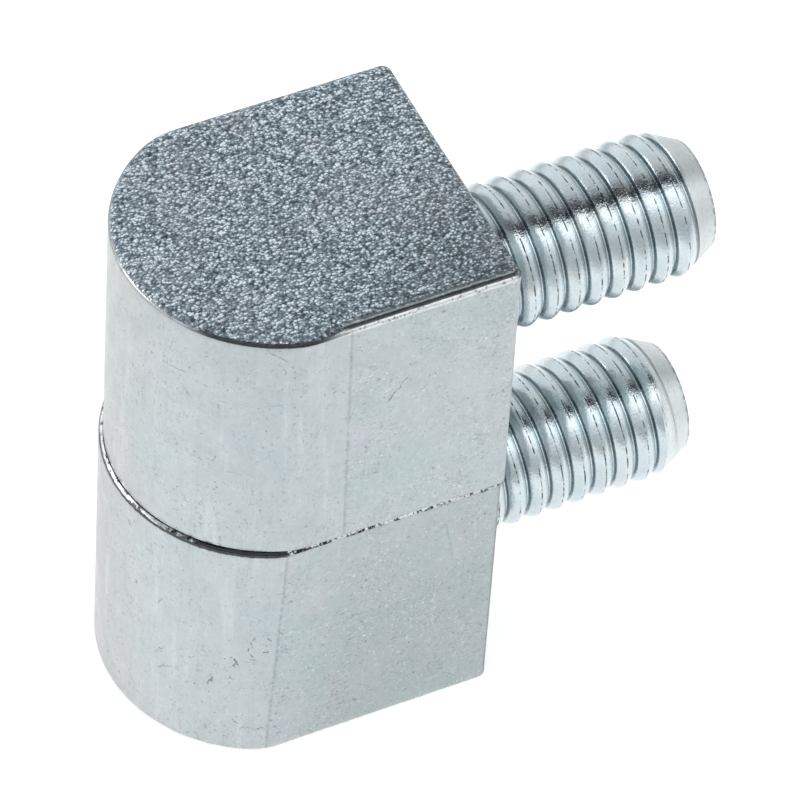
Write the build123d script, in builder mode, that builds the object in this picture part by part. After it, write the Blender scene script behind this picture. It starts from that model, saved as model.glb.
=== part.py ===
"""Block hinge with threaded mounting studs, zinc plated steel.

Two D-section blocks are stacked on one hidden hinge pin. Each block carries one
M8 stud screwed into its flat back face. The lower block holds the pin tight, and
the upper block turns on it.

Frame: +Z is the hinge axis, pointing up. The origin is on the hinge axis at the
foot of the lower block. +Y points out of the flat back faces, along the studs.
Millimetres.
"""

import math
import os

from build123d import *

os.makedirs("parts", exist_ok=True)

# ---------------------------------------------------------------- dimensions
# Lower block: D section seen from above. The nose is turned, and the two flats are
# the faces of the bar that the block was cut from.
lower_height = 15.88
lower_nose_r = 8.44
lower_nose_x = -0.08  # centre of the nose, as made, from the hinge axis
lower_nose_y = -0.07
lower_flat_right = 7.90  # distance of the +X flat from the hinge axis
lower_flat_left = 8.00  # distance of the -X flat from the hinge axis
lower_back = 9.70  # distance of the back face from the hinge axis
lower_blend = 3.0  # runs the nose into the flats

# Upper block: the same bar, with its nose turned a little smaller.
running_gap = 0.10  # between the two blocks
upper_height = 15.66
upper_nose_r = 8.30
upper_flat_right = 8.10
upper_flat_left = 7.79
upper_back = 9.82
upper_blend = 4.0

end_round = 0.45  # outer edge of the two outside end faces
parting_round = 0.20  # outer edge of the two faces that meet
corner_round = 0.50  # upright corners at the back

# Hinge pin: plain 6 mm dowel, tight in the lower block, running in the upper one.
pin_d = 6.0
pin_in_lower = 11.0
pin_in_upper = 11.0
pin_chamfer = 0.5
running_clearance = 0.03  # radial
bore_mouth_chamfer = 0.3
drill_point_deg = 118.0

# Studs: M8 x 1.25. The free length is held at the crest diameter, and the screwed-in
# length at the pitch diameter, where the two threads meet.
stud_crest_r = 3.90
stud_pitch_r = 3.594
stud_inner_chamfer = 0.6
stud_end_r = 2.95
stud_end_chamfer = 1.90
stud_engaged = 5.60
stud_hole_depth = 5.80
upper_stud_free = 13.80
lower_stud_free = 13.78
upper_stud_x = 0.16
lower_stud_x = -0.05
upper_stud_z = 7.80  # above the upper block's underside
lower_stud_z = 8.08  # above the lower block's foot

# ---------------------------------------------------------------- derived
upper_foot = lower_height + running_gap
pin_r = pin_d / 2
bore_r = pin_r + running_clearance
drill_slope = math.tan(math.radians(drill_point_deg / 2))

# Y of the lines where each turned nose meets its two flats
lower_crease_right = lower_nose_y - math.sqrt(
    lower_nose_r**2 - (lower_flat_right - lower_nose_x) ** 2
)
lower_crease_left = lower_nose_y - math.sqrt(
    lower_nose_r**2 - (lower_flat_left + lower_nose_x) ** 2
)
upper_crease_right = -math.sqrt(upper_nose_r**2 - upper_flat_right**2)
upper_crease_left = -math.sqrt(upper_nose_r**2 - upper_flat_left**2)

# Planes through each stud: the back face looking inwards, and the lengthwise section
lower_stud_point = (lower_stud_x, lower_back, lower_stud_z)
upper_stud_point = (upper_stud_x, upper_back, upper_foot + upper_stud_z)
lower_stud_inward = Plane(lower_stud_point, x_dir=(1, 0, 0), z_dir=(0, -1, 0))
upper_stud_inward = Plane(upper_stud_point, x_dir=(1, 0, 0), z_dir=(0, -1, 0))
lower_stud_section = Plane(lower_stud_point, x_dir=(1, 0, 0), z_dir=(0, 0, 1))
upper_stud_section = Plane(upper_stud_point, x_dir=(1, 0, 0), z_dir=(0, 0, 1))

# ---------------------------------------------------------------- lower block
with BuildPart() as lower_block:
    with BuildSketch(Plane.XY):
        with BuildLine():
            Polyline(
                (-lower_flat_left, lower_crease_left),
                (-lower_flat_left, lower_back),
                (lower_flat_right, lower_back),
                (lower_flat_right, lower_crease_right),
            )
            ThreePointArc(
                (lower_flat_right, lower_crease_right),
                (lower_nose_x, lower_nose_y - lower_nose_r),
                (-lower_flat_left, lower_crease_left),
            )
        make_face()
    extrude(amount=lower_height)
    fillet(
        lower_block.edges().filter_by(Axis.Z).filter_by_position(Axis.Y, -9, 0),
        radius=lower_blend,
    )
    fillet(
        lower_block.edges().filter_by(Axis.Z).group_by(Axis.Y)[-1],
        radius=corner_round,
    )
    fillet(lower_block.faces().sort_by(Axis.Z)[0].edges(), radius=end_round)
    fillet(lower_block.faces().sort_by(Axis.Z)[-1].edges(), radius=parting_round)
    # bore that holds the hinge pin tight, with its drill point
    with BuildSketch(Plane.XZ):
        with BuildLine():
            Polyline(
                (0, lower_height),
                (pin_r + bore_mouth_chamfer, lower_height),
                (pin_r, lower_height - bore_mouth_chamfer),
                (pin_r, lower_height - pin_in_lower),
                (0, lower_height - pin_in_lower - pin_r / drill_slope),
                close=True,
            )
        make_face()
    revolve(axis=Axis.Z, mode=Mode.SUBTRACT)
    # tapped hole for the stud, in the back face
    with BuildSketch(lower_stud_inward):
        Circle(stud_pitch_r)
    extrude(amount=stud_hole_depth, mode=Mode.SUBTRACT)
lower_block.part.label = "lower_block"

# ---------------------------------------------------------------- upper block
with BuildPart() as upper_block:
    with BuildSketch(Plane.XY.offset(upper_foot)):
        with BuildLine():
            Polyline(
                (-upper_flat_left, upper_crease_left),
                (-upper_flat_left, upper_back),
                (upper_flat_right, upper_back),
                (upper_flat_right, upper_crease_right),
            )
            ThreePointArc(
                (upper_flat_right, upper_crease_right),
                (0, -upper_nose_r),
                (-upper_flat_left, upper_crease_left),
            )
        make_face()
    extrude(amount=upper_height)
    fillet(
        upper_block.edges().filter_by(Axis.Z).filter_by_position(Axis.Y, -9, 0),
        radius=upper_blend,
    )
    fillet(
        upper_block.edges().filter_by(Axis.Z).group_by(Axis.Y)[-1],
        radius=corner_round,
    )
    fillet(upper_block.faces().sort_by(Axis.Z)[-1].edges(), radius=end_round)
    fillet(upper_block.faces().sort_by(Axis.Z)[0].edges(), radius=parting_round)
    # running bore for the hinge pin, closed at the top by its drill point
    with BuildSketch(Plane.XZ):
        with BuildLine():
            Polyline(
                (0, upper_foot),
                (bore_r + bore_mouth_chamfer, upper_foot),
                (bore_r, upper_foot + bore_mouth_chamfer),
                (bore_r, upper_foot + pin_in_upper),
                (0, upper_foot + pin_in_upper + bore_r / drill_slope),
                close=True,
            )
        make_face()
    revolve(axis=Axis.Z, mode=Mode.SUBTRACT)
    # tapped hole for the stud, in the back face
    with BuildSketch(upper_stud_inward):
        Circle(stud_pitch_r)
    extrude(amount=stud_hole_depth, mode=Mode.SUBTRACT)
upper_block.part.label = "upper_block"

# ---------------------------------------------------------------- hinge pin
with BuildPart() as hinge_pin:
    with BuildSketch(Plane.XY.offset(lower_height - pin_in_lower)):
        Circle(pin_r)
    extrude(amount=pin_in_lower + pin_in_upper)
    chamfer(hinge_pin.edges().filter_by(GeomType.CIRCLE), length=pin_chamfer)
hinge_pin.part.label = "hinge_pin"

# ---------------------------------------------------------------- studs
# Half sections: radius along local X, and length along local Y from the back face.
with BuildPart() as lower_stud:
    with BuildSketch(lower_stud_section):
        with BuildLine():
            Polyline(
                (0, -stud_engaged),
                (stud_pitch_r - stud_inner_chamfer, -stud_engaged),
                (stud_pitch_r, -stud_engaged + stud_inner_chamfer),
                (stud_pitch_r, 0),
                (stud_crest_r, 0),
                (stud_crest_r, lower_stud_free - stud_end_chamfer),
                (stud_end_r, lower_stud_free),
                (0, lower_stud_free),
                close=True,
            )
        make_face()
    revolve(axis=Axis(lower_stud_point, (0, 1, 0)))
lower_stud.part.label = "lower_stud"

with BuildPart() as upper_stud:
    with BuildSketch(upper_stud_section):
        with BuildLine():
            Polyline(
                (0, -stud_engaged),
                (stud_pitch_r - stud_inner_chamfer, -stud_engaged),
                (stud_pitch_r, -stud_engaged + stud_inner_chamfer),
                (stud_pitch_r, 0),
                (stud_crest_r, 0),
                (stud_crest_r, upper_stud_free - stud_end_chamfer),
                (stud_end_r, upper_stud_free),
                (0, upper_stud_free),
                close=True,
            )
        make_face()
    revolve(axis=Axis(upper_stud_point, (0, 1, 0)))
upper_stud.part.label = "upper_stud"

# ---------------------------------------------------------------- output
export_step(lower_block.part, "parts/lower_block.step")
export_step(upper_block.part, "parts/upper_block.step")
export_step(hinge_pin.part, "parts/hinge_pin.step")
export_step(lower_stud.part, "parts/lower_stud.step")
export_step(upper_stud.part, "parts/upper_stud.step")
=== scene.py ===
import math

import bmesh
import bpy
import numpy as np
from mathutils import Matrix


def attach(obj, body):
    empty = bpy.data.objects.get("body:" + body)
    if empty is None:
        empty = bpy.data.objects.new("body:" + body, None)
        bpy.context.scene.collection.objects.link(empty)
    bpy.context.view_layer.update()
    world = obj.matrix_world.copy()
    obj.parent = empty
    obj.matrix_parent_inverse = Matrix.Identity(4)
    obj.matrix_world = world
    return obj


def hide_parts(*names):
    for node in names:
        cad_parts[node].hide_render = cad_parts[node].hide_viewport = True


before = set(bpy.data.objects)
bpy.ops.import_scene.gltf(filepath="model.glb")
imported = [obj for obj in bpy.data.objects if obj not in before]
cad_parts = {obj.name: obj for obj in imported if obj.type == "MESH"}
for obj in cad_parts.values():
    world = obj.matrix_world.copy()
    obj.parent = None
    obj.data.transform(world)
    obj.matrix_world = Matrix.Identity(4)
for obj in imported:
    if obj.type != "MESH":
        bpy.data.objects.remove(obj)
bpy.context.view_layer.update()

MM = 0.001

# ------------------------------------------------------------------ dimensions, as in the CAD (mm)
LOWER = dict(
    z0=0.0, z1=15.88, nose=8.44, nose_at=(-0.08, -0.07), right=7.90, left=8.00, back=9.70, corner=0.50,
    blend=3.0, stud=(-0.05, 8.08), bore_r=3.0, end_drop=0.52, parting=0.30, lean=0.010, grain_to=(0.08, 0.20),
)
UPPER = dict(
    z0=15.98, z1=31.64, nose=8.30, nose_at=(0.0, 0.0), right=8.10, left=7.79, back=9.82, corner=0.50,
    blend=4.0, stud=(0.16, 23.78), bore_r=3.03, end_drop=0.34, parting=0.06, lean=0.0, grain_to=(0.22, 0.40),
)
# As made: the end edges are rolled over by different depths, the two parting edges are not equally sharp, and the
# lower block's near flat leans a little.
END_ROUND = 0.54
BORE_DEPTH, BORE_MOUTH = 11.0, 0.3
DRILL = math.tan(math.radians(59.0))
STUD_R, STUD_PITCH_R, STUD_END_R, STUD_END = 3.90, 3.594, 2.95, 1.90
STUD_IN, HOLE_DEPTH = 5.60, 5.80
PITCH = 1.25


# ------------------------------------------------------------------ seeded noise on a lattice
def lattice_noise(u, v, cell, seed):
    """Smooth random field in -1..1, with features about as large as cell."""
    table = np.random.RandomState(seed).uniform(-1.0, 1.0, (256, 256))
    a, b = np.asarray(u) / cell, np.asarray(v) / cell
    i, j = np.floor(a).astype(int), np.floor(b).astype(int)
    f, g = a - i, b - j
    f, g = f * f * f * (f * (6 * f - 15) + 10), g * g * g * (g * (6 * g - 15) + 10)
    i0, i1, j0, j1 = i % 256, (i + 1) % 256, j % 256, (j + 1) % 256
    top = table[i0, j0] * (1 - f) + table[i1, j0] * f
    low = table[i0, j1] * (1 - f) + table[i1, j1] * f
    return top * (1 - g) + low * g


# ------------------------------------------------------------------ meshes
def mesh_object(name, verts_mm, faces):
    me = bpy.data.meshes.new(name)
    me.from_pydata((np.asarray(verts_mm) * MM).tolist(), [], faces)
    me.validate()
    bm = bmesh.new()
    bm.from_mesh(me)
    bmesh.ops.recalc_face_normals(bm, faces=bm.faces)
    bm.to_mesh(me)
    bm.free()
    ob = bpy.data.objects.new(name, me)
    bpy.context.scene.collection.objects.link(ob)
    return ob


def revolve_y(name, profile, centre, n=96):
    """Closed solid of revolution about a line along Y. profile is (radius, y) from axis to axis, and centre is (x, z)."""
    ang = np.arange(n) * 2 * math.pi / n
    verts = [(centre[0], profile[0][1], centre[1])]
    for r, y in profile[1:-1]:
        verts += [(centre[0] + r * math.cos(t), y, centre[1] + r * math.sin(t)) for t in ang]
    verts.append((centre[0], profile[-1][1], centre[1]))
    last = len(verts) - 1
    rows = len(profile) - 2
    faces = [(0, 1 + (i + 1) % n, 1 + i) for i in range(n)]
    for k in range(rows - 1):
        a, b = 1 + k * n, 1 + (k + 1) * n
        faces += [(a + i, a + (i + 1) % n, b + (i + 1) % n, b + i) for i in range(n)]
    a = 1 + (rows - 1) * n
    faces += [(last, a + i, a + (i + 1) % n) for i in range(n)]
    return mesh_object(name, verts, faces)


def cut(ob, tool, operation):
    """Applies a boolean of tool to ob, and removes tool."""
    mod = ob.modifiers.new("cut", "BOOLEAN")
    mod.operation, mod.solver, mod.object = operation, "MANIFOLD", tool
    bpy.context.view_layer.update()
    graph = bpy.context.evaluated_depsgraph_get()
    me = bpy.data.meshes.new_from_object(ob.evaluated_get(graph))
    old = ob.data
    ob.modifiers.clear()
    ob.data = me
    me.name = ob.name
    bpy.data.meshes.remove(old)
    bpy.data.objects.remove(tool)
    return ob


def spread(a, b, n, close=0.06):
    """n values from a to b without b, with an extra pair close to each end, so that a crease stays crisp."""
    span = abs(b - a)
    e = close / span
    return a + (b - a) * np.concatenate([[0.0, e], np.linspace(2.2 * e, 1 - 2.2 * e, n), [1 - e]])


def outline(block, inset, z):
    """The block's D section at height z, inset by that much, anticlockwise from above. It always has the same points."""
    nose, (ax, ay), rb = block["nose"] - 0.002, block["nose_at"], block["blend"]
    right = block["right"] + 0.02 * (block["lean"] > 0) + block["lean"] * (z - (block["z0"] + block["z1"]) / 2)
    xr, xl, yb = right - inset, block["left"] - inset, block["back"] - inset
    c = max(block["corner"] - inset, 0.03)
    xs, ys = [], []

    def arc(cx, cy, r, angles):
        xs.append(cx + r * np.cos(angles))
        ys.append(cy + r * np.sin(angles))

    # centres of the two blends between nose and flats
    bl, br = -block["left"] + rb, right - rb
    y_left = ay - math.sqrt((nose - rb) ** 2 - (bl - ax) ** 2)
    y_right = ay - math.sqrt((nose - rb) ** 2 - (br - ax) ** 2)
    start, stop = math.atan2(y_left - ay, bl - ax), math.atan2(y_right - ay, br - ax)
    arc(bl, y_left, rb - inset, np.linspace(-math.pi, start, 12, endpoint=False))
    arc(ax, ay, nose - inset, np.linspace(start, stop, 200, endpoint=False))
    arc(br, y_right, rb - inset, np.linspace(stop, 0, 12, endpoint=False))
    flat = spread(y_right, yb - c, 96)
    xs.append(np.full(len(flat), xr)); ys.append(flat)
    arc(xr - c, yb - c, c, np.linspace(0, math.pi / 2, 7, endpoint=False))
    flat = spread(xr - c, -xl + c, 84)
    xs.append(flat); ys.append(np.full(len(flat), yb))
    arc(-xl + c, yb - c, c, np.linspace(math.pi / 2, math.pi, 7, endpoint=False))
    flat = spread(yb - c, y_left, 60)
    xs.append(np.full(len(flat), -xl)); ys.append(flat)
    return np.stack([np.concatenate(xs), np.concatenate(ys)], 1)


def grain(x, y, seed):
    """Height (mm) of the coarse blasted and plated end face."""
    y = y * 0.75
    h = 0.55 * lattice_noise(x, y, 0.30, seed) + 0.75 * lattice_noise(x + 3.1, y + 1.7, 0.19, seed + 1)
    h += 0.5 * lattice_noise(x * 0.8 + y * 0.6, y * 0.8 - x * 0.6, 0.13, seed + 2)
    return h


def make_block(name, block, end_up, seed):
    """A block as rings of points: end face, its rounding, the sides, the rounding at the parting face, that face, and the pin's blind bore."""
    s = 1 if end_up else -1
    z_end, z_part = (block["z1"], block["z0"]) if end_up else (block["z0"], block["z1"])
    rings = []
    base = outline(block, 0.0, (z_end + z_part) / 2)
    end_drop, parting = block["end_drop"], block["parting"]
    n = len(base)
    centre = np.array([0.0, 0.8])
    inner = outline(block, END_ROUND, z_end)
    count = 100 if end_up else 60
    for k in range(1, count):
        t = k / count
        p = centre + t * (inner - centre)
        rings.append((p, np.full(n, z_end) + s * (0.009 * grain(p[:, 0], p[:, 1], seed) - 0.017)))
    edge = np.arange(n)
    around = np.cumsum(np.hypot(*(np.roll(base, -1, 0) - base).T))
    for a in np.linspace(math.pi / 2, 0, 9):
        z = z_end - s * end_drop * (1 - math.sin(a))
        p = outline(block, END_ROUND * (1 - math.cos(a)), z)
        wear = 0.010 * lattice_noise(around, edge * 0 + 4 * a, 0.5, seed + 5) - 0.010
        wear += 0.005 * lattice_noise(around, edge * 0 + 9 * a, 0.18, seed + 6) - 0.005
        weight = math.sin(2 * a)
        top = math.sin(a) ** 6
        g = 0.009 * grain(p[:, 0], p[:, 1], seed) - 0.017
        inward = (centre - p) / np.linalg.norm(centre - p, axis=1)[:, None]
        rings.append((p - inward * (wear * weight)[:, None] * 0.7, z + s * (wear * weight * 0.7 + g * top)))
    z_a, z_b = z_end - s * end_drop, z_part + s * parting
    for z in np.linspace(z_a, z_b, 42)[1:-1]:
        dent = 0.004 * lattice_noise(around, np.full(n, z), 2.6, seed + 7) + 0.0022 * lattice_noise(around, np.full(n, z), 1.1, seed + 8) - 0.0065
        fade = min(1.0, min(abs(z - z_a), abs(z - z_b)) / 0.8)
        p = outline(block, 0.0, z)
        inward = (centre - p) / np.linalg.norm(centre - p, axis=1)[:, None]
        rings.append((p - inward * (dent * fade)[:, None], np.full(n, z)))
    for a in np.linspace(0, math.pi / 2, 7):
        z = z_part + s * parting * (1 - math.sin(a))
        p = outline(block, parting * (1 - math.cos(a)), z)
        wear = 0.02 * lattice_noise(around, edge * 0 + 3 * a, 0.45, seed + 9) - 0.02
        wear += 0.012 * lattice_noise(around, edge * 0 + 9 * a, 0.16, seed + 10) - 0.012
        weight = math.sin(2 * a) * min(1.0, parting / 0.2)
        inward = (centre - p) / np.linalg.norm(centre - p, axis=1)[:, None]
        rings.append((p - inward * (wear * weight)[:, None] * 0.7, z - s * wear * weight * 0.7))
    r = block["bore_r"]
    angle = np.arctan2(inner[:, 1], inner[:, 0])
    circle = np.stack([np.cos(angle), np.sin(angle)], 1)
    rim = rings[-1][0]
    for t in (0.35, 0.7, 1.0):
        rings.append((rim * (1 - t) + circle * (r + BORE_MOUTH) * t, np.full(n, z_part)))
    rings.append((circle * r, np.full(n, z_part + s * BORE_MOUTH)))
    rings.append((circle * r, np.full(n, z_part + s * (BORE_DEPTH * 0.5))))
    rings.append((circle * r, np.full(n, z_part + s * BORE_DEPTH)))

    verts = [np.array([[centre[0], centre[1], z_end - s * 0.017]])]
    for p, z in rings:
        verts.append(np.column_stack([p, np.broadcast_to(z, n)]))
    verts.append(np.array([[0.0, 0.0, z_part + s * (BORE_DEPTH + r / DRILL)]]))
    verts = np.concatenate(verts)
    last = len(verts) - 1
    faces = [(0, 1 + i, 1 + (i + 1) % n) for i in range(n)]
    for k in range(len(rings) - 1):
        a, b = 1 + k * n, 1 + (k + 1) * n
        faces += [(a + i, b + i, b + (i + 1) % n, a + (i + 1) % n) for i in range(n)]
    a = 1 + (len(rings) - 1) * n
    faces += [(last, a + (i + 1) % n, a + i) for i in range(n)]
    ob = mesh_object(name, verts, faces)
    hole = revolve_y(
        name + "_hole",
        [(0, block["back"] - HOLE_DEPTH), (STUD_PITCH_R, block["back"] - HOLE_DEPTH), (STUD_PITCH_R, block["back"] + 1.0), (0, block["back"] + 1.0)],
        block["stud"],
    )
    return cut(ob, hole, "DIFFERENCE")


def thread_profile(f):
    """Radius at phase f of one pitch, crest at 0: flanks curving down from the crest to a narrow V root."""
    fine = np.linspace(-PITCH, PITCH, 4001)
    w = np.abs((fine / PITCH + 0.5) % 1.0 - 0.5) * PITCH
    raw = STUD_R + 0.006 - np.where(w < 0.505, 0.255 * (w / 0.505) ** 1.6, 0.255 + 2.1 * (w - 0.505))
    step = fine[1] - fine[0]
    k = np.exp(-0.5 * (np.arange(-200, 201) * step / 0.017) ** 2)
    soft = np.convolve(raw, k / k.sum(), "same")
    u = ((np.asarray(f) + 0.5) % 1.0 - 0.5) * PITCH
    return np.minimum(np.interp(u, fine, soft), STUD_R)


def make_stud(name, block, free, crest_y, seed):
    """Helical thread, cut to the turned blank with its chamfered ends."""
    cx, cz = block["stud"]
    back = block["back"]
    half = np.array([0.010, 0.022, 0.040, 0.08, 0.13, 0.18, 0.23, 0.28, 0.32, 0.35, 0.375, 0.392, 0.405, 0.420, 0.44, 0.46, 0.474, 0.487])
    phase = np.concatenate([[0.0], half, [0.5], 1 - half[::-1]])
    m, n = len(phase), 112
    first = math.floor((back - STUD_IN - crest_y) / PITCH) - 1
    turns = math.ceil((STUD_IN + free) / PITCH) + 4
    u = crest_y + PITCH * (first + np.repeat(np.arange(turns), m) + np.tile(phase, turns))
    rad = thread_profile(np.tile(phase, turns))
    rows = len(u)
    ang = np.arange(n) * 2 * math.pi / n
    y = u[:, None] - PITCH * ang[None, :] / (2 * math.pi)
    r = np.repeat(rad[:, None], n, 1)
    # slight unevenness left by the rolling dies and the plating
    r = r + 0.006 * lattice_noise(ang[None, :] * 3.9 + 0 * y, y, 0.6, seed) - 0.006
    # the crest's seam, open in places
    f = (np.tile(phase, turns) + 0.5) % 1.0 - 0.5
    along = ang[None, :] + 2 * math.pi * np.round((u[:, None] - crest_y) / PITCH)
    gape = np.clip(lattice_noise(along * 3.9, 0 * along, 0.55, seed + 1) * 0.9 + 0.35, 0.0, 1.0)
    gape = gape * np.clip((back + free - STUD_END - 0.5 - y) / 0.4, 0.0, 1.0)
    r = r - 0.045 * gape * np.exp(-0.5 * ((f[:, None] - 0.004) / 0.012) ** 2)
    verts = np.stack([cx + r * np.cos(ang), y, cz + r * np.sin(ang)], 2).reshape(-1, 3)
    low = len(verts)
    verts = np.concatenate([verts, [[cx, y[0].min() - 0.4, cz]], [[cx, y[-1].max() + 0.4, cz]]])
    at = lambda j, i: j * n + i
    faces = []
    for j in range(rows - 1):
        faces += [(at(j, i), at(j, i + 1), at(j + 1, i + 1), at(j + 1, i)) for i in range(n - 1)]
        if j >= m:
            faces.append((at(j, n - 1), at(j - m, 0), at(j + 1 - m, 0), at(j + 1, n - 1)))
    start = [at(0, i) for i in range(n)] + [at(j, n - 1) for j in range(1, m + 1)]
    end = [at(rows - 1, i) for i in range(n)] + [at(j, 0) for j in range(rows - 1 - m, rows - 1)]
    for loop, c in ((start, low), (end, low + 1)):
        faces += [(loop[k], loop[(k + 1) % len(loop)], c) for k in range(len(loop))]
    ob = mesh_object(name, verts, faces)
    tip = back + free
    blank = revolve_y(
        name + "_blank",
        [
            (0, back - STUD_IN), (STUD_PITCH_R - 0.6, back - STUD_IN), (STUD_PITCH_R, back - STUD_IN + 0.6),
            (STUD_PITCH_R, back), (STUD_R, back), (STUD_R, tip - STUD_END), (STUD_R - 0.03, tip - STUD_END + 0.06),
            (STUD_END_R + 0.065, tip - 0.14), (STUD_END_R + 0.02, tip - 0.045), (STUD_END_R - 0.03, tip), (0, tip),
        ],
        (cx, cz), n=144,
    )
    return cut(ob, blank, "INTERSECT")


def smooth(ob, degrees):
    ob.data.polygons.foreach_set("use_smooth", [True] * len(ob.data.polygons))
    ob.data.set_sharp_from_angle(angle=math.radians(degrees))


upper_block = make_block("upper_block_body", UPPER, True, 11)
lower_block = make_block("lower_block_body", LOWER, False, 41)
upper_stud = make_stud("upper_stud_thread", UPPER, 13.80, 12.894, 71)
lower_stud = make_stud("lower_stud_thread", LOWER, 13.78, 13.13, 81)
for ob, degrees in ((upper_block, 40), (lower_block, 40), (upper_stud, 38), (lower_stud, 38)):
    smooth(ob, degrees)

for ob, node, body, slot in (
    (upper_block, "upper_block", "upper_leaf", "block_zinc"),
    (lower_block, "lower_block", "lower_leaf", "block_zinc"),
    (upper_stud, "upper_stud", "upper_leaf", "stud_zinc"),
    (lower_stud, "lower_stud", "lower_leaf", "stud_zinc"),
):
    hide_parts(node)
    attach(ob, body)


# ------------------------------------------------------------------ materials
class Tree:
    """Short hands for one material's nodes. Lengths are in millimetres of the piece's own frame."""

    def __init__(self, name):
        self.material = bpy.data.materials.new(name)
        self.material.use_nodes = True
        self.t = self.material.node_tree
        self.t.nodes.clear()
        out = self.t.nodes.new("ShaderNodeOutputMaterial")
        self.shader = self.t.nodes.new("ShaderNodeBsdfPrincipled")
        self.t.links.new(self.shader.outputs[0], out.inputs["Surface"])
        coord = self.t.nodes.new("ShaderNodeTexCoord")
        self.p = self.vec("MULTIPLY", coord.outputs["Object"], (1000, 1000, 1000))
        sep = self.t.nodes.new("ShaderNodeSeparateXYZ")
        self.link(self.p, sep.inputs[0])
        self.x, self.y, self.z = sep.outputs

    def link(self, a, b):
        if hasattr(a, "is_output"):
            self.t.links.new(a, b)
        else:
            b.default_value = a

    def vec(self, op, a, b):
        n = self.t.nodes.new("ShaderNodeVectorMath")
        n.operation = op
        self.link(a, n.inputs[0])
        self.link(b, n.inputs[1])
        return n.outputs["Value"] if op in ("DOT_PRODUCT", "DISTANCE", "LENGTH") else n.outputs["Vector"]

    def math(self, op, a, b=0.0, clamp=False):
        n = self.t.nodes.new("ShaderNodeMath")
        n.operation, n.use_clamp = op, clamp
        self.link(a, n.inputs[0])
        self.link(b, n.inputs[1])
        return n.outputs[0]

    def span(self, v, a, b, to0=0.0, to1=1.0, smooth=True):
        n = self.t.nodes.new("ShaderNodeMapRange")
        n.interpolation_type = "SMOOTHSTEP" if smooth else "LINEAR"
        for value, socket in zip((v, a, b, to0, to1), n.inputs[:5]):
            self.link(value, socket)
        return n.outputs[0]

    def noise(self, scale, detail=2.0, rough=0.5, vector=None, stretch=None, distortion=0.0):
        v = vector if vector is not None else self.p
        if stretch:
            v = self.vec("MULTIPLY", v, stretch)
        n = self.t.nodes.new("ShaderNodeTexNoise")
        self.link(v, n.inputs["Vector"])
        n.inputs["Scale"].default_value = scale
        n.inputs["Detail"].default_value = detail
        n.inputs["Roughness"].default_value = rough
        n.inputs["Distortion"].default_value = distortion
        return n.outputs[0]

    def cells(self, scale, vector=None, feature="F1"):
        n = self.t.nodes.new("ShaderNodeTexVoronoi")
        n.feature = feature
        self.link(vector if vector is not None else self.p, n.inputs["Vector"])
        n.inputs["Scale"].default_value = scale
        return n

    def mix(self, f, a, b, kind="MIX"):
        n = self.t.nodes.new("ShaderNodeMix")
        n.data_type, n.blend_type = "RGBA", kind
        self.link(f, n.inputs[0])
        for v, s in ((a, n.inputs[6]), (b, n.inputs[7])):
            self.link(v if hasattr(v, "is_output") else (*v, 1.0), s)
        return n.outputs[2]

    def ramp(self, f, stops):
        n = self.t.nodes.new("ShaderNodeValToRGB")
        while len(n.color_ramp.elements) < len(stops):
            n.color_ramp.elements.new(0.5)
        for e, (at, colour) in zip(n.color_ramp.elements, stops):
            e.position = at
            e.color = (*colour, 1.0)
        self.link(f, n.inputs[0])
        return n.outputs[0]

    def bump(self, height_mm, strength=1.0):
        n = self.t.nodes.new("ShaderNodeBump")
        n.inputs["Strength"].default_value = strength
        n.inputs["Distance"].default_value = MM
        self.link(height_mm, n.inputs["Height"])
        self.link(n.outputs[0], self.shader.inputs["Normal"])

    def set(self, **values):
        for key, v in values.items():
            self.link(v, self.shader.inputs[key.replace("_", " ")])


def total(t, *values):
    v = values[0]
    for w in values[1:]:
        v = t.math("ADD", v, w)
    return v


def mark(t, a, b, half, u, v):
    """1 along a thin mark from a to b in the plane of coordinates u and v, else 0."""
    (ua, va), (ub, vb) = a, b
    length = math.hypot(ub - ua, vb - va)
    du, dv = (ub - ua) / length, (vb - va) / length
    pu, pv = t.math("SUBTRACT", u, ua), t.math("SUBTRACT", v, va)
    along = t.math("ADD", t.math("MULTIPLY", pu, du), t.math("MULTIPLY", pv, dv))
    off = t.math("ABSOLUTE", t.math("SUBTRACT", t.math("MULTIPLY", pv, du), t.math("MULTIPLY", pu, dv)))
    line = t.span(off, half * 0.4, half * 1.3, 1.0, 0.0)
    ends = t.math("MULTIPLY", t.span(along, 0.0, length * 0.2), t.span(along, length * 0.8, length, 1.0, 0.0))
    return t.math("MULTIPLY", line, ends)


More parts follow.
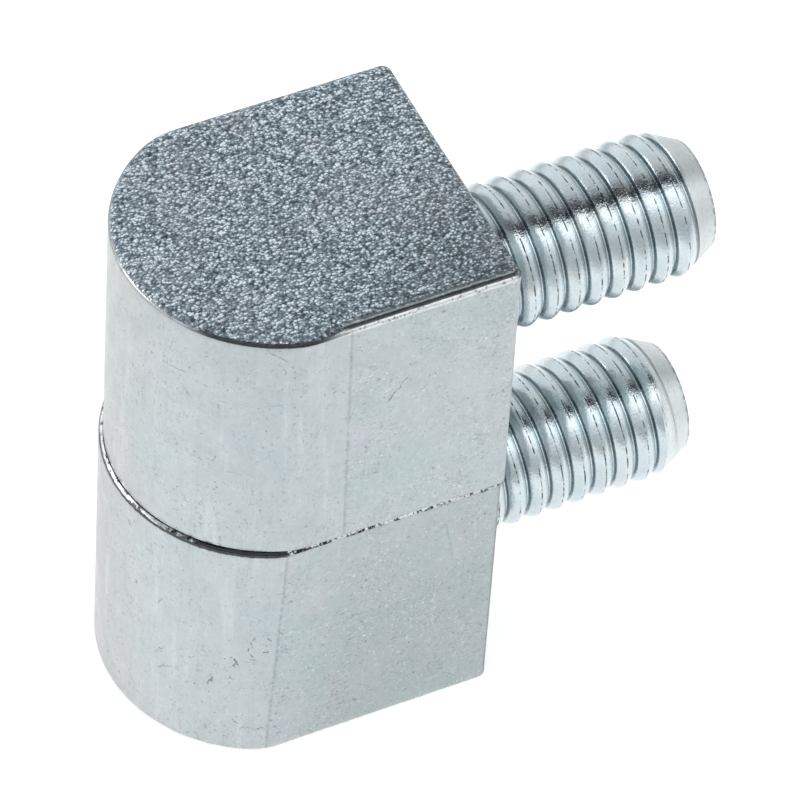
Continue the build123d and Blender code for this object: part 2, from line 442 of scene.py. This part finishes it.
def block_material(name, block, end_up, flat_from, drift, flat_shade, rim_dark, nose_marks, flat_marks):
    """Satin zinc plate: turned nose, drawn flats, and a coarse blasted end face, with painted shade, a painted warm
    reflection and painted highlights in the colour. Marks are (a, b, half width, depth of colour).
    """
    t = Tree(name)
    s = 1 if end_up else -1
    ax, ay = block["nose_at"]
    # depth below the end face, distance from the parting face, and length around the nose
    below = t.math("MULTIPLY", t.math("SUBTRACT", block["z1"] if end_up else block["z0"], t.z), s)
    apart = t.math("MULTIPLY", t.math("SUBTRACT", t.z, block["z0"] if end_up else block["z1"]), s)
    around = t.math("MULTIPLY", t.math("ARCTAN2", t.math("SUBTRACT", t.y, ay), t.math("SUBTRACT", t.x, ax)), block["nose"])
    # the line between nose and flat leans a little
    from_line = t.math("SUBTRACT", t.math("SUBTRACT", t.y, t.math("MULTIPLY", apart, drift)), flat_from)
    ragged = t.math("ADD", from_line, t.math("MULTIPLY", t.math("SUBTRACT", t.noise(3.0, 3.0, 0.6), 0.5), 0.16))
    flat = t.span(ragged, -0.15, 0.15)
    nose = t.math("SUBTRACT", 1.0, flat)
    near = t.span(t.x, 0.0, 1.0)

    speck = t.noise(7.5, 3.0, 0.65)
    fine = t.noise(17.0, 2.0, 0.6)
    near_flat = t.math("MULTIPLY", t.span(t.y, flat_from - 2.4, flat_from + 0.3), t.span(t.y, block["back"] - 0.15, block["back"] - 0.5))
    near_flat = t.math("MULTIPLY", near_flat, t.span(t.x, block["right"] - END_ROUND - 0.10, block["right"] - END_ROUND + 0.02))
    # blasted grain: small rounded grains with dark gaps
    shift = t.math("MULTIPLY", t.math("SUBTRACT", t.noise(3.4, 2.0, 0.5), 0.5), 0.22)
    combine = t.t.nodes.new("ShaderNodeCombineXYZ")
    t.link(t.math("ADD", t.x, shift), combine.inputs[0])
    t.link(t.math("SUBTRACT", t.math("MULTIPLY", t.y, 0.88), shift), combine.inputs[1])
    t.link(t.z, combine.inputs[2])
    cells = t.cells(7.2, vector=combine.outputs[0])
    gap, lot = cells.outputs["Distance"], cells.outputs["Color"]
    high, low = block["grain_to"]
    front = t.span(t.x, 4.0, 5.8)
    ragged_end = t.math("ADD", below, t.math("MULTIPLY", t.math("SUBTRACT", gap, 0.45), 0.08))
    end_high = t.span(near_flat, 0.0, 1.0, t.span(front, 0.0, 1.0, high * 0.45, high), 0.008)
    end_low = t.span(near_flat, 0.0, 1.0, t.span(front, 0.0, 1.0, low * 0.55, low), 0.045)
    end = t.span(ragged_end, end_high, end_low, 1.0, 0.0)
    side = t.math("SUBTRACT", 1.0, end)

    # colour of the sides: upright streaks on the nose and mottled plating all over, under painted shade and a painted
    # warm reflection
    tint = t.noise(0.33, 2.0, 0.5, stretch=(1.0, 1.0, 0.7))
    streak = t.noise(1.0, 4.0, 0.65, stretch=(1.3, 1.3, 0.10))
    lines = t.noise(1.0, 3.0, 0.7, stretch=(0.30, 0.30, 6.5))
    smudge = t.noise(0.8, 3.0, 0.6)
    mottle = t.noise(2.7, 4.0, 0.65)
    nose_colour = t.ramp(tint, [(0.30, (0.535, 0.605, 0.625)), (0.50, (0.560, 0.605, 0.620)), (0.70, (0.590, 0.612, 0.635))])
    flat_colour = t.ramp(tint, [(0.30, (0.525, 0.605, 0.615)), (0.50, (0.560, 0.615, 0.622)), (0.70, (0.592, 0.612, 0.650))])
    if flat_shade:
        shade = t.math("MULTIPLY", t.span(from_line, 0.0, 5.0, 0.35, 1.0), t.span(apart, 0.0, 9.0, 0.65, 1.10))
        flat_colour = t.mix(t.math("MULTIPLY", shade, flat_shade), flat_colour, (0.0, 0.0, 0.0))
    colour = t.mix(flat, nose_colour, flat_colour)
    # painted warm reflection: the left of the nose is lighter and warmer
    warm_reflection = t.math("MULTIPLY", t.span(t.x, -4.0, 5.0, 0.85, 0.0), t.span(t.x, -7.5, -4.2))
    colour = t.mix(t.math("MULTIPLY", warm_reflection, nose), colour, (0.615, 0.615, 0.585))
    # painted shade across the sides by position: heaviest on the left of the nose, lightest near x = 4 mm, a little
    # heavier again on the right flat
    colour = t.mix(t.math("ADD", t.span(t.x, -2.0, 4.0, 0.19, 0.09), t.span(t.x, 4.5, 8.0, 0.0, 0.035)), colour, (0.0, 0.0, 0.0))
    colour = t.mix(t.span(smudge, 0.40, 0.72, 0.0, 0.20), colour, (0.42, 0.46, 0.48))
    colour = t.mix(t.math("MULTIPLY", t.span(streak, 0.52, 0.74, 0.0, 0.46), nose), colour, (0.40, 0.44, 0.45))
    colour = t.mix(t.math("MULTIPLY", t.span(streak, 0.46, 0.28, 0.0, 0.30), nose), colour, (0.70, 0.73, 0.73))
    colour = t.mix(t.math("MULTIPLY", t.span(lines, 0.54, 0.76, 0.0, 0.22), nose), colour, (0.40, 0.44, 0.46))
    colour = t.mix(t.math("MULTIPLY", t.span(mottle, 0.52, 0.72), t.span(flat, 0.0, 1.0, 0.20, 0.32)), colour, (0.33, 0.37, 0.39))
    colour = t.mix(t.math("MULTIPLY", t.span(mottle, 0.46, 0.28), t.span(flat, 0.0, 1.0, 0.20, 0.30)), colour, (0.74, 0.78, 0.79))
    # specks and thin broken squiggles, in patches
    patch = t.span(t.noise(0.42, 3.0, 0.6), 0.40, 0.60, 0.30, 1.0)
    colour = t.mix(t.math("MULTIPLY", t.math("MULTIPLY", t.span(speck, 0.54, 0.70), patch), t.span(flat, 0.0, 1.0, 0.16, 0.42)), colour, (0.25, 0.285, 0.30))
    colour = t.mix(t.math("MULTIPLY", t.math("MULTIPLY", t.span(speck, 0.40, 0.28), patch), t.span(flat, 0.0, 1.0, 0.14, 0.80)), colour, (0.86, 0.90, 0.91))
    broken = t.math("MULTIPLY", t.span(t.noise(3.9, 2.0, 0.6), 0.47, 0.60), patch)
    for where, stretch, strength in ((flat, (1.0, 0.5, 1.25), 0.66), (nose, (1.0, 1.0, 0.42), 0.50)):
        thin = t.math("ABSOLUTE", t.math("SUBTRACT", t.noise(2.6, 3.0, 0.62, stretch=stretch), 0.5))
        thin = t.math("MULTIPLY", t.span(thin, 0.005, 0.024, strength, 0.0), where)
        colour = t.mix(t.math("MULTIPLY", thin, broken), colour, (0.15, 0.165, 0.175))
    dots = t.span(t.noise(3.6, 2.0, 0.5), 0.67, 0.74)
    colour = t.mix(t.math("MULTIPLY", dots, 0.55), colour, (0.16, 0.18, 0.19))
    # thin line where the nose meets the flat
    edge = t.math("MULTIPLY", t.span(t.math("ABSOLUTE", ragged), 0.02, 0.12, 1.0, 0.0), near)
    edge = t.math("MULTIPLY", edge, t.span(mottle, 0.36, 0.58, 0.14, 0.40))
    colour = t.mix(edge, colour, (0.20, 0.23, 0.25))
    # knocks and scratches, none of them quite straight
    bend = t.math("MULTIPLY", t.math("SUBTRACT", t.noise(2.3, 2.0, 0.6), 0.5), 0.34)
    faint = t.span(t.noise(5.2, 2.0, 0.6), 0.36, 0.60, 0.50, 1.0)
    bent_z = t.math("SUBTRACT", t.z, bend)
    for marks, u in ((nose_marks, t.math("ADD", around, bend)), (flat_marks, t.math("ADD", t.y, bend))):
        for a, b, half, dark in marks:
            m = t.math("MULTIPLY", t.math("MULTIPLY", mark(t, a, b, half, u, bent_z), near), faint)
            colour = t.mix(t.math("MULTIPLY", m, dark), colour, (0.07, 0.08, 0.085))
    # parting line, with painted shadow in the gap between the blocks
    patchy = t.math("SUBTRACT", t.noise(4.2, 3.0, 0.65), 0.5)
    if end_up:
        # painted shadow in the gap: a black line just above the upper block's bottom edge
        gap_shadow = t.span(t.math("ADD", apart, t.math("MULTIPLY", patchy, 0.08)), 0.01, 0.05, 1.0, 0.0)
        colour = t.mix(t.math("MULTIPLY", gap_shadow, 0.80), colour, (0.030, 0.034, 0.037))
    else:
        # painted highlight in broken dashes along the ledge on the left of the nose and on the flat, and painted shade
        # between them and in front
        dashes = t.math("SUBTRACT", t.noise(3.2, 3.0, 0.65), 0.5)
        lit = t.math("MULTIPLY", t.math("ADD", t.span(t.x, 3.8, 6.2, 0.60, 0.06), t.math("MULTIPLY", dashes, 1.5)), nose)
        lit = t.math("ADD", lit, t.math("MULTIPLY", t.math("ADD", t.span(t.y, -3.0, 8.0, 0.42, 0.62), t.math("MULTIPLY", patchy, 2.4)), flat))
        ledge_highlight_and_shade = t.ramp(lit, [(0.30, (0.035, 0.038, 0.040)), (0.44, (0.22, 0.235, 0.24)), (0.60, (0.92, 0.94, 0.94))])
        ledge = t.span(t.math("ADD", apart, t.math("MULTIPLY", patchy, 0.10)), t.span(flat, 0.0, 1.0, 0.15, 0.20), t.span(flat, 0.0, 1.0, 0.18, 0.27), 1.0, 0.0)
        colour = t.mix(ledge, colour, ledge_highlight_and_shade)
        uneven = t.math("ADD", apart, t.math("MULTIPLY", patchy, 0.16))
        outer = t.math("MULTIPLY", t.span(uneven, 0.12, 0.16), t.span(uneven, 0.31, 0.25))
        outer = t.math("MULTIPLY", t.math("MULTIPLY", outer, nose), t.span(t.x, -8.0, 3.0, 0.62, 0.85))
        colour = t.mix(outer, colour, (0.040, 0.044, 0.047))
        # painted shadow in the gap: a black line at the very top of the lower block, fainter on the flat
        colour = t.mix(t.math("MULTIPLY", t.span(apart, 0.022, 0.042, 1.0, 0.0), t.span(flat, 0.0, 1.0, 1.0, 0.5)), colour, (0.018, 0.020, 0.022))
    # the parting face itself is turned and plain
    rings = t.math("SQRT", t.math("ADD", t.math("MULTIPLY", t.x, t.x), t.math("MULTIPLY", t.y, t.y)))
    rings = t.math("SINE", t.math("MULTIPLY", t.math("ADD", rings, t.math("MULTIPLY", mottle, 0.12)), 42.0))
    plain = t.ramp(t.math("ADD", t.math("MULTIPLY", rings, 0.25), smudge), [(0.20, (0.42, 0.45, 0.46)), (0.80, (0.56, 0.59, 0.60))])
    colour = t.mix(t.span(apart, 0.0015 if end_up else 0.004, 0.006 if end_up else 0.012, 1.0, 0.0), colour, plain)
    # dark line along the edge of the end face, higher up on the near flat, with a speckled painted highlight under it
    uneven = t.math("ADD", below, t.math("MULTIPLY", patchy, 0.08))
    rim = t.math("MULTIPLY", t.span(below, 0.10, 0.17), t.span(uneven, 0.40, 0.31, 0.0, rim_dark))
    where = t.math("ADD", t.math("MULTIPLY", front, t.span(t.y, 7.5, 9.0, 1.0, 0.35)), t.span(t.x, -5.5, -7.0, 0.08, 0.70))
    rim = t.math("MULTIPLY", t.math("MULTIPLY", rim, where), t.math("SUBTRACT", 1.0, near_flat))
    even = t.math("ADD", below, t.math("MULTIPLY", patchy, 0.025))
    rim_near = t.math("MULTIPLY", t.span(even, 0.045, 0.062), t.span(even, 0.165, 0.135, 0.0, rim_dark))
    rim_near = t.math("ADD", rim_near, t.math("MULTIPLY", t.span(below, 0.006, 0.012), t.span(below, 0.034, 0.026, 0.0, rim_dark * 0.75)))
    rim = t.math("ADD", rim, t.math("MULTIPLY", rim_near, near_flat))
    if not end_up:
        colour = t.mix(t.span(uneven, 0.36, 0.20, 0.0, 0.50), colour, (0.26, 0.25, 0.24))
    # painted highlight: a bright line on the near flat just under the dark line, broken by dark specks
    lip = t.math("MULTIPLY", t.math("MULTIPLY", t.span(below, 0.10, 0.16), t.span(below, 0.50, 0.32)), near_flat)
    colour = t.mix(t.math("MULTIPLY", lip, 0.85), colour, (0.95, 0.97, 0.97))
    colour = t.mix(t.math("MULTIPLY", lip, t.span(patchy, 0.02, 0.12, 0.0, 0.70)), colour, (0.20, 0.21, 0.22))
    # end face, with painted shade towards its right back corner
    # painted shade: the end face darkens towards its right back corner
    corner = t.span(t.math("ADD", t.math("MULTIPLY", t.x, 0.8), t.math("MULTIPLY", t.y, 0.6)), 2.0, 12.5)
    bright = t.math("SUBTRACT", t.math("MULTIPLY", lot, 0.80), t.math("MULTIPLY", gap, 0.80))
    bright = t.math("SUBTRACT", t.math("ADD", bright, 0.48), t.math("MULTIPLY", corner, 0.13))
    end_colour = t.ramp(bright, [(0.10, (0.075, 0.092, 0.105)), (0.30, (0.185, 0.230, 0.260)), (0.52, (0.335, 0.410, 0.465)), (0.66, (0.54, 0.625, 0.685)), (0.80, (0.86, 0.92, 0.96))])
    stain = t.noise(0.30, 2.0, 0.5)
    end_colour = t.mix(t.span(stain, 0.45, 0.70, 0.0, 0.16), end_colour, (0.42, 0.40, 0.44))
    end_colour = t.mix(t.math("MULTIPLY", corner, 0.16), end_colour, (0.06, 0.07, 0.08))
    colour = t.mix(end, colour, end_colour)
    colour = t.mix(rim, colour, (0.050, 0.050, 0.055))
    # upright back corner, darker on the lower block
    back_edge = t.span(t.math("ADD", t.y, t.math("MULTIPLY", patchy, 0.16)), block["back"] - 0.34, block["back"] - 0.24)
    back_edge = t.math("MULTIPLY", back_edge, t.span(t.x, block["right"] - 0.9, block["right"] - 0.5))
    colour = t.mix(t.math("MULTIPLY", t.math("MULTIPLY", back_edge, side), 0.10 if end_up else 0.60), colour, (0.14, 0.136, 0.13))

    rough = t.span(smudge, 0.3, 0.7, 0.25, 0.37, False)
    rough = t.math("ADD", rough, t.math("MULTIPLY", flat, 0.04))
    rough = t.math("ADD", t.math("MULTIPLY", rough, side), t.math("MULTIPLY", end, 0.26))

    nose_h = t.math("MULTIPLY", total(t, t.math("MULTIPLY", streak, 0.0030), t.math("MULTIPLY", speck, 0.005)), nose)
    flat_h = t.math("MULTIPLY", total(t, t.math("MULTIPLY", speck, 0.012), t.math("MULTIPLY", fine, 0.003)), flat)
    side_h = t.math("MULTIPLY", total(t, nose_h, flat_h, t.math("MULTIPLY", mottle, 0.007)), side)
    end_h = t.math("MULTIPLY", t.math("ADD", t.math("MULTIPLY", t.math("MULTIPLY", gap, gap), -0.050), t.math("MULTIPLY", fine, 0.014)), end)
    t.bump(total(t, side_h, end_h, t.math("MULTIPLY", t.math("MULTIPLY", patchy, lip), 0.045)))
    t.set(Base_Color=colour, Roughness=rough, Metallic=1.0)
    return t.material


def stud_material(name, block, free, crest_y):
    """Bright zinc plate on a rolled thread, with painted shade in the root, painted highlights along the crest and the
    root's bottom, and the broken seam along the crest.
    """
    t = Tree(name)
    cx, cz = block["stud"]
    dx, dz = t.math("SUBTRACT", t.x, cx), t.math("SUBTRACT", t.z, cz)
    turn = t.math("DIVIDE", t.math("ARCTAN2", dz, dx), 2 * math.pi)
    radius = t.math("SQRT", t.math("ADD", t.math("MULTIPLY", dx, dx), t.math("MULTIPLY", dz, dz)))
    phase = t.math("ADD", t.math("DIVIDE", t.math("SUBTRACT", t.y, crest_y), PITCH), turn)
    f = t.math("SUBTRACT", t.math("FRACT", t.math("ADD", phase, 0.5)), 0.5)
    away = t.math("ABSOLUTE", f)
    tip = t.span(t.y, block["back"] + free - STUD_END + 0.15, block["back"] + free - STUD_END + 0.75)

    tint = t.noise(0.7, 2.0, 0.5)
    colour = t.ramp(tint, [(0.32, (0.580, 0.670, 0.705)), (0.50, (0.625, 0.700, 0.728)), (0.70, (0.680, 0.725, 0.735))])
    speck = t.noise(9.0, 3.0, 0.65)
    colour = t.mix(t.span(speck, 0.56, 0.72, 0.0, 0.42), colour, (0.28, 0.33, 0.36))
    colour = t.mix(t.span(speck, 0.42, 0.28, 0.0, 0.35), colour, (0.84, 0.89, 0.91))
    # painted shade deep in the root
    root = t.math("MULTIPLY", t.span(radius, 3.52, 3.45), t.span(t.noise(1.6, 2.0, 0.6), 0.30, 0.62, 0.05, 0.30))
    colour = t.mix(root, colour, (0.20, 0.25, 0.285))
    # painted shade on the two walls of the root, and a painted highlight along its bottom
    on_thread = t.span(radius, 3.25, 3.33)
    walls = t.math("MULTIPLY", t.math("MULTIPLY", t.span(away, 0.400, 0.418), t.span(away, 0.476, 0.462)), on_thread)
    colour = t.mix(t.math("MULTIPLY", walls, t.span(speck, 0.35, 0.60, 0.75, 0.45)), colour, (0.13, 0.165, 0.19))
    colour = t.mix(t.math("MULTIPLY", t.span(away, 0.474, 0.486, 0.0, 0.60), on_thread), colour, (0.95, 0.97, 0.98))
    wander = t.math("MULTIPLY", t.math("SUBTRACT", t.noise(2.2, 2.0, 0.5), 0.5), 0.03)
    seam = t.span(t.math("ABSOLUTE", t.math("ADD", t.math("SUBTRACT", f, 0.004), wander)), 0.012, 0.040, 1.0, 0.0)
    seam = t.math("MULTIPLY", seam, t.span(radius, 3.76, 3.83))
    broken = t.span(t.noise(2.1, 3.0, 0.65), 0.43, 0.56)
    colour = t.mix(t.math("MULTIPLY", t.math("MULTIPLY", seam, broken), 0.92), colour, (0.05, 0.06, 0.065))
    # painted highlight along the crest
    crest = t.math("MULTIPLY", t.span(away, 0.13, 0.04), t.span(radius, 3.72, 3.82))
    colour = t.mix(t.math("MULTIPLY", crest, t.span(speck, 0.45, 0.62, 0.12, 0.0)), colour, (0.90, 0.93, 0.94))
    # turned end, duller and paler
    colour = t.mix(t.math("MULTIPLY", tip, 0.75), colour, (0.80, 0.82, 0.81))
    spots = t.noise(4.6, 4.0, 0.7)
    colour = t.mix(t.math("MULTIPLY", tip, t.span(spots, 0.54, 0.70, 0.0, 0.40)), colour, (0.34, 0.36, 0.36))
    end = block["back"] + free
    lip = t.math("MULTIPLY", t.span(t.y, end - 0.22, end - 0.10), t.span(spots, 0.40, 0.58, 0.15, 0.75))
    colour = t.mix(t.math("MULTIPLY", lip, t.span(radius, STUD_END_R - 0.20, STUD_END_R - 0.08)), colour, (0.22, 0.24, 0.24))
    rough = t.span(t.noise(3.0, 3.0, 0.6), 0.3, 0.7, 0.05, 0.12, False)
    rough = t.math("ADD", rough, t.math("MULTIPLY", tip, 0.38))
    height = total(
        t, t.math("MULTIPLY", t.noise(5.0, 3.0, 0.6), 0.012), t.math("MULTIPLY", speck, 0.011),
        t.math("MULTIPLY", t.math("MULTIPLY", seam, broken), -0.015),
    )
    t.bump(height)
    t.set(Base_Color=colour, Roughness=rough, Metallic=1.0)
    return t.material


def pin_material():
    t = Tree("ground_pin_steel")
    ground = t.noise(1.0, 3.0, 0.65, stretch=(0.4, 0.4, 9.0))
    colour = t.ramp(ground, [(0.35, (0.50, 0.50, 0.51)), (0.65, (0.62, 0.62, 0.63))])
    t.bump(t.math("MULTIPLY", ground, 0.003))
    t.set(Base_Color=colour, Roughness=t.span(ground, 0.3, 0.7, 0.18, 0.30, False), Metallic=1.0)
    return t.material


def give(ob, material):
    ob.data.materials.clear()
    ob.data.materials.append(material)


give(
    upper_block,
    block_material(
        "zinc_block_upper", UPPER, True, 0.62, -0.0138, 0.0, 0.90,
        [
            ((-9.64, 27.95), (-7.99, 28.11), 0.045, 0.45), ((-3.94, 31.04), (-2.84, 30.24), 0.05, 0.5),
            ((-6.48, 26.88), (-4.30, 26.95), 0.04, 0.16), ((-4.30, 26.95), (-2.24, 27.22), 0.04, 0.18),
            ((-2.89, 20.53), (-2.71, 20.52), 0.14, 0.28), ((-6.57, 22.20), (-6.27, 22.79), 0.050, 0.45),
            ((-6.90, 22.33), (-6.63, 22.36), 0.045, 0.40), ((-7.32, 22.22), (-7.04, 22.17), 0.045, 0.40),
            ((-5.97, 21.81), (-4.83, 21.69), 0.035, 0.28), ((-8.72, 17.51), (-8.30, 17.54), 0.045, 0.30),
            ((-2.62, 26.97), (-2.44, 26.95), 0.080, 0.40),
        ],
        [((3.85, 26.88), (2.50, 25.12), 0.06, 0.60)],
    ),
)
give(
    lower_block,
    block_material(
        "zinc_block_lower", LOWER, False, -2.41, -0.0407, 0.13, 0.22,
        [
            ((-3.92, 9.44), (-4.05, 9.02), 0.050, 0.80), ((-4.05, 9.02), (-4.01, 8.51), 0.035, 0.60),
            ((-4.20, 8.57), (-4.19, 8.17), 0.050, 0.70), ((-4.07, 8.07), (-3.96, 7.78), 0.050, 0.70),
            ((-4.14, 7.58), (-3.79, 7.61), 0.045, 0.75), ((-4.92, 7.57), (-4.72, 7.17), 0.055, 0.80),
            ((-4.72, 7.17), (-4.95, 6.90), 0.060, 0.85), ((-4.75, 7.39), (-4.65, 6.96), 0.045, 0.70),
            ((-3.24, 9.34), (-3.04, 9.08), 0.050, 0.60), ((-3.48, 8.17), (-3.18, 8.31), 0.060, 0.85),
            ((-3.21, 8.35), (-3.15, 8.06), 0.050, 0.70), ((-5.42, 7.43), (-5.28, 7.40), 0.050, 0.70),
            ((-5.94, 5.88), (-6.34, 5.06), 0.065, 0.75), ((-9.52, 5.79), (-8.77, 6.72), 0.035, 0.55),
            ((-9.40, 5.96), (-9.22, 5.91), 0.040, 0.50), ((-9.32, 4.72), (-8.06, 5.61), 0.040, 0.50),
            ((-8.86, 5.63), (-8.75, 5.07), 0.050, 0.45), ((-11.65, 14.44), (-11.46, 14.12), 0.050, 0.65),
            ((-11.46, 14.12), (-11.25, 14.13), 0.050, 0.60), ((-9.74, 14.28), (-9.44, 14.29), 0.050, 0.60),
            ((-9.20, 14.54), (-9.07, 14.28), 0.040, 0.50), ((-9.35, 9.77), (-8.92, 10.49), 0.050, 0.50),
            ((-8.41, 3.77), (-8.26, 3.64), 0.050, 0.55),
        ],
        [
            ((6.47, 14.22), (6.84, 12.57), 0.05, 0.25), ((6.84, 12.57), (7.05, 10.89), 0.05, 0.22),
            ((-2.72, 9.87), (-2.42, 9.42), 0.050, 0.40), ((-2.67, 3.25), (-2.59, 3.06), 0.070, 0.60),
        ],
    ),
)
give(upper_stud, stud_material("zinc_thread_upper", UPPER, 13.80, 12.894))
give(lower_stud, stud_material("zinc_thread_lower", LOWER, 13.78, 13.13))
give(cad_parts["hinge_pin"], pin_material())

# ------------------------------------------------------------------ floor
me = bpy.data.meshes.new("floor")
me.from_pydata([(-3, -3, 0), (3, -3, 0), (3, 3, 0), (-3, 3, 0)], [], [(0, 1, 2, 3)])
floor = bpy.data.objects.new("floor", me)
bpy.context.scene.collection.objects.link(floor)
white = bpy.data.materials.new("floor_white")
white.use_nodes = True
shader = white.node_tree.nodes["Principled BSDF"]
shader.inputs["Base Color"].default_value = (0.80, 0.80, 0.80, 1)
shader.inputs["Emission Color"].default_value = (1, 1, 1, 1)
# the floor glows in a disc around the piece: a painted pool of light that fills in its shadow
place = white.node_tree.nodes.new("ShaderNodeTexCoord")
out_from = white.node_tree.nodes.new("ShaderNodeVectorMath")
out_from.operation = "DISTANCE"
out_from.inputs[1].default_value = (-0.020, 0.018, 0.0)
white.node_tree.links.new(place.outputs["Object"], out_from.inputs[0])
painted_light_pool = white.node_tree.nodes.new("ShaderNodeMapRange")
painted_light_pool.interpolation_type = "SMOOTHSTEP"
for socket, v in zip(painted_light_pool.inputs[1:5], (0.050, 0.115, 0.56, 0.0)):
    socket.default_value = v
white.node_tree.links.new(out_from.outputs["Value"], painted_light_pool.inputs[0])
white.node_tree.links.new(painted_light_pool.outputs[0], shader.inputs["Emission Strength"])
shader.inputs["Roughness"].default_value = 0.9
shader.inputs["Specular IOR Level"].default_value = 0.1
give(floor, white)

# ------------------------------------------------------------------ white surround with a darker overhead
world = bpy.data.worlds.new("surround")
bpy.context.scene.world = world
world.use_nodes = True
w = world.node_tree
w.nodes.clear()
out = w.nodes.new("ShaderNodeOutputWorld")
back = w.nodes.new("ShaderNodeBackground")
w.links.new(back.outputs[0], out.inputs[0])
coord = w.nodes.new("ShaderNodeTexCoord")
parts = w.nodes.new("ShaderNodeSeparateXYZ")
w.links.new(coord.outputs["Generated"], parts.inputs[0])


def world_span(value, a, b, to0, to1, kind="SMOOTHSTEP"):
    n = w.nodes.new("ShaderNodeMapRange")
    n.interpolation_type = kind
    w.links.new(value, n.inputs[0])
    for socket, v in zip(n.inputs[1:5], (a, b, to0, to1)):
        socket.default_value = v
    return n.outputs[0]


def world_mix(f, a, b):
    n = w.nodes.new("ShaderNodeMix")
    n.data_type = "RGBA"
    w.links.new(f, n.inputs[0])
    for v, socket in ((a, n.inputs[6]), (b, n.inputs[7])):
        if isinstance(v, tuple):
            socket.default_value = (*v, 1)
        else:
            w.links.new(v, socket)
    return n.outputs[2]


def world_math(op, a, b):
    n = w.nodes.new("ShaderNodeMath")
    n.operation = op
    w.links.new(a, n.inputs[0])
    if hasattr(b, "is_output"):
        w.links.new(b, n.inputs[1])
    else:
        n.inputs[1].default_value = b
    return n.outputs[0]


# Level overhead, by tilt towards +X: lit from -X, a dark gap, and then a long soft box along Y.
tilt = world_math("DIVIDE", world_math("ADD", parts.outputs[0], 0.586), world_math("MAXIMUM", world_math("ADD", parts.outputs[2], 0.747), 0.05))
overhead = w.nodes.new("ShaderNodeValToRGB")
stops = [
    (-0.466, 1.05), (-0.176, 0.97), (0.0, 0.83), (0.176, 0.69), (0.250, 0.55), (0.305, 0.36), (0.350, 0.11), (0.395, 0.02),
    (0.543, 0.015), (0.566, 1.70), (0.75, 1.55), (0.92, 1.15), (1.10, 0.84), (1.50, 0.62), (2.75, 0.52),
]
while len(overhead.color_ramp.elements) < len(stops):
    overhead.color_ramp.elements.new(0.5)
for e, (h, level) in zip(overhead.color_ramp.elements, stops):
    e.position = (h + 1) / 4
    e.color = (level * 0.97, level, level * 1.02, 1)
w.links.new(world_span(tilt, -1.0, 3.0, 0.0, 1.0, "LINEAR"), overhead.inputs[0])
low = world_mix(world_span(parts.outputs[0], 0.35, 0.75, 0.0, 1.0), (0.93, 0.95, 0.97), (0.53, 0.57, 0.60))
sky = world_mix(world_span(parts.outputs[2], 0.02, 0.12, 0.0, 1.0), low, overhead.outputs[0])
w.links.new(sky, back.inputs["Color"])
back.inputs["Strength"].default_value = 1.0


def area(name, at, look, size, power, colour=(1, 1, 1)):
    data = bpy.data.lights.new(name, "AREA")
    data.shape, data.size, data.energy, data.color = "DISK", size, power, colour
    ob = bpy.data.objects.new(name, data)
    bpy.context.scene.collection.objects.link(ob)
    z = np.array(at, float) - np.array(look, float)
    z /= np.linalg.norm(z)
    x = np.cross((0, 0, 1), z)
    x /= np.linalg.norm(x)
    y = np.cross(z, x)
    ob.matrix_world = Matrix([[x[i], y[i], z[i], at[i]] for i in range(3)] + [[0, 0, 0, 1]])
    return ob


area("key", (-0.35, -0.67, 0.27), (0, 0, 0.015), 0.40, 1.28)

# ------------------------------------------------------------------ camera, solved from the photograph's edges
ROT = np.array([[0.4290779, 0.9021741, 0.0444309], [0.6875084, -0.2942872, -0.6638729], [-0.5858535, 0.3153998, -0.7465244]])
EYE = np.array([226.9735, -114.5340, 304.0070])
cam = bpy.data.cameras.new("camera")
cam.sensor_fit, cam.sensor_width = "HORIZONTAL", 36.0
cam.lens = 338.6941
cam.clip_start, cam.clip_end = 0.01, 20.0
camera = bpy.data.objects.new("camera", cam)
bpy.context.scene.collection.objects.link(camera)
camera.matrix_world = Matrix(
    [[ROT[0][i], -ROT[1][i], -ROT[2][i], EYE[i] * MM] for i in range(3)] + [[0, 0, 0, 1]]
)
bpy.context.scene.camera = camera
bpy.context.scene.view_settings.view_transform = "Standard"
bpy.context.scene.view_settings.look = "None"

bpy.context.view_layer.update()
